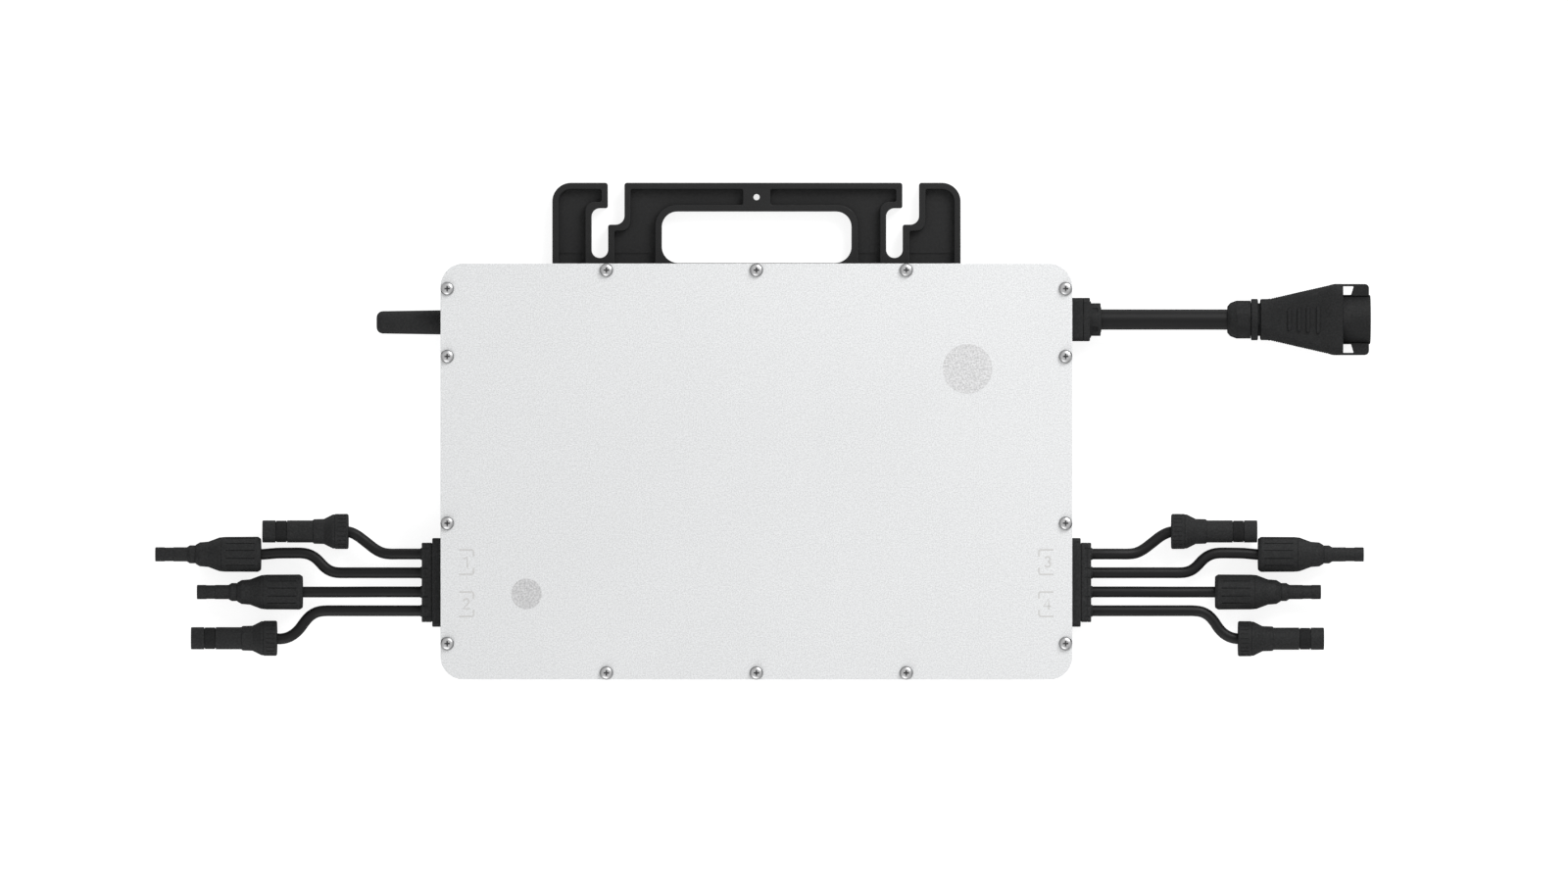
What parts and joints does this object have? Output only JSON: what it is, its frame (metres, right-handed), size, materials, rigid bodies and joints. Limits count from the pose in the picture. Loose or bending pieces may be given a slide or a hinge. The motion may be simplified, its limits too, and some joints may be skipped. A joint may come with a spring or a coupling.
{
  "type": "microinverter",
  "caption": "Flat sealed solar inverter with a slotted hanging bracket, short PV leads in connectors on both sides, and an AC lead with a flared trunk connector.",
  "frame": {"origin": "centre of the case's back plane, the surface that the inverter lies on", "axes": "+Z out of the front cover, +Y from the case to the mounting bracket, +X towards the AC lead"},
  "size_m": [0.6377, 0.2606, 0.037],
  "materials": {
    "cover_aluminium": "fine sand-blasted and clear anodised",
    "tray_aluminium": "die-cast, satin",
    "steel": "bright stainless",
    "bracket_black": "fine matt powder coat",
    "black_plastic": "moulded, satin",
    "cable_jacket": "smooth, slightly glossy",
    "seal_rubber": "matt",
    "circuit_board": "solder mask",
    "ferrite": "ground ceramic",
    "copper_winding": "enamelled wire"
  },
  "bodies": {
    "inverter": {"housing_base": "tray_aluminium", "front_cover": "cover_aluminium", "cover_gasket": "seal_rubber", "cover_screw_1": "steel", "cover_screw_2": "steel", "cover_screw_3": "steel", "cover_screw_4": "steel", "cover_screw_5": "steel", "cover_screw_6": "steel", "cover_screw_7": "steel", "cover_screw_8": "steel", "cover_screw_9": "steel", "cover_screw_10": "steel", "cover_screw_11": "steel", "cover_screw_12": "steel", "cover_screw_13": "steel", "cover_screw_14": "steel", "mounting_bracket": "bracket_black", "bracket_screw_left": "steel", "bracket_screw_right": "steel", "antenna_stub": "black_plastic", "dc_gland_left": "black_plastic", "dc_gland_right": "black_plastic", "pv1_male_lead": "cable_jacket", "pv1_female_lead": "cable_jacket", "pv2_female_lead": "cable_jacket", "pv2_male_lead": "cable_jacket", "pv3_male_lead": "cable_jacket", "pv3_female_lead": "cable_jacket", "pv4_female_lead": "cable_jacket", "pv4_male_lead": "cable_jacket", "pv1_male_body": "black_plastic", "pv1_female_body": "black_plastic", "pv2_female_body": "black_plastic", "pv2_male_body": "black_plastic", "pv3_male_body": "black_plastic", "pv3_female_body": "black_plastic", "pv4_female_body": "black_plastic", "pv4_male_body": "black_plastic", "ac_gland": "black_plastic", "ac_cable": "cable_jacket", "ac_connector_body": "black_plastic", "ac_contact_insert": "black_plastic", "main_board": "circuit_board", "power_transformer_1": "ferrite", "power_transformer_2": "ferrite", "power_transformer_3": "ferrite", "power_transformer_4": "ferrite", "ac_filter_choke": "copper_winding", "grid_relay": "black_plastic", "bus_capacitor": "black_plastic"},
    "pv1_male_nut": {"pv1_male_nut": "black_plastic"},
    "pv1_female_nut": {"pv1_female_nut": "black_plastic"},
    "pv2_female_nut": {"pv2_female_nut": "black_plastic"},
    "pv2_male_nut": {"pv2_male_nut": "black_plastic"},
    "pv3_male_nut": {"pv3_male_nut": "black_plastic"},
    "pv3_female_nut": {"pv3_female_nut": "black_plastic"},
    "pv4_female_nut": {"pv4_female_nut": "black_plastic"},
    "pv4_male_nut": {"pv4_male_nut": "black_plastic"},
    "ac_cable_nut": {"ac_cable_nut": "black_plastic"}
  },
  "joints": [
    {"name": "pv1_male_nut_turn", "type": "hinge", "parent": "inverter", "child": "pv1_male_nut", "pos_m": [-0.2142, -0.0315, 0.00925], "axis": [1, 0, 0], "range_deg": [0, 1080]},
    {"name": "pv1_female_nut_turn", "type": "hinge", "parent": "inverter", "child": "pv1_female_nut", "pos_m": [-0.2601, -0.0435, 0.00925], "axis": [1, 0, 0], "range_deg": [0, 1080]},
    {"name": "pv2_female_nut_turn", "type": "hinge", "parent": "inverter", "child": "pv2_female_nut", "pos_m": [-0.2382, -0.0633, 0.00925], "axis": [1, 0, 0], "range_deg": [0, 1080]},
    {"name": "pv2_male_nut_turn", "type": "hinge", "parent": "inverter", "child": "pv2_male_nut", "pos_m": [-0.2517, -0.08755, 0.00925], "axis": [1, 0, 0], "range_deg": [0, 1080]},
    {"name": "pv3_male_nut_turn", "type": "hinge", "parent": "inverter", "child": "pv3_male_nut", "pos_m": [0.21775, -0.0315, 0.00925], "axis": [-1, 0, 0], "range_deg": [0, 1080]},
    {"name": "pv3_female_nut_turn", "type": "hinge", "parent": "inverter", "child": "pv3_female_nut", "pos_m": [0.2633, -0.04355, 0.00925], "axis": [-1, 0, 0], "range_deg": [0, 1080]},
    {"name": "pv4_female_nut_turn", "type": "hinge", "parent": "inverter", "child": "pv4_female_nut", "pos_m": [0.2408, -0.0633, 0.00925], "axis": [-1, 0, 0], "range_deg": [0, 1080]},
    {"name": "pv4_male_nut_turn", "type": "hinge", "parent": "inverter", "child": "pv4_male_nut", "pos_m": [0.2528, -0.0878, 0.00925], "axis": [-1, 0, 0], "range_deg": [0, 1080]},
    {"name": "ac_cable_nut_turn", "type": "hinge", "parent": "inverter", "child": "ac_cable_nut", "pos_m": [0.253, 0.07975, 0.0136], "axis": [-1, 0, 0], "range_deg": [0, 1080]}
  ]
}
